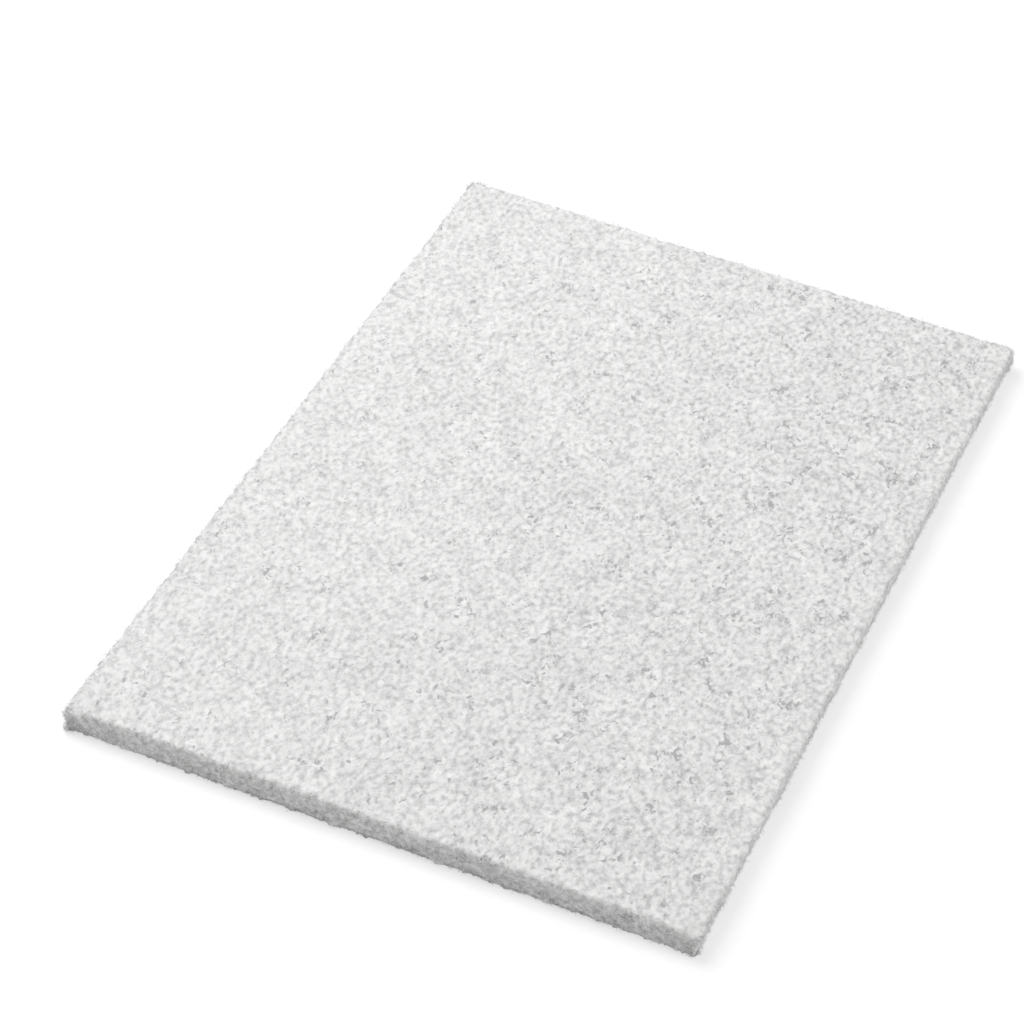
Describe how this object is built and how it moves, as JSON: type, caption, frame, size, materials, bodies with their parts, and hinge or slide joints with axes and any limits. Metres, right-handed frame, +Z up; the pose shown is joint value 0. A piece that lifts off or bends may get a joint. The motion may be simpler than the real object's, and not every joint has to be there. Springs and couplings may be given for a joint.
{
  "type": "floor scrubbing pad",
  "caption": "Flat rectangular scrubbing pad of white bonded non-woven fibre, with blade-cut sides, a rounded upper rim and two small nicks in the far edge.",
  "frame": {"origin": "middle of the flat underside, on the surface that the pad lies on", "axes": "+Z up through the thickness; +Y along the long side, towards the end with the rounder corners; +X across the short side"},
  "size_m": [0.3048, 0.4572, 0.0127],
  "materials": {
    "white_fibre": "matt, open lofted web of bonded crimped fibre"
  },
  "bodies": {
    "root": {"scrubbing_pad": "white_fibre"}
  },
  "joints": []
}
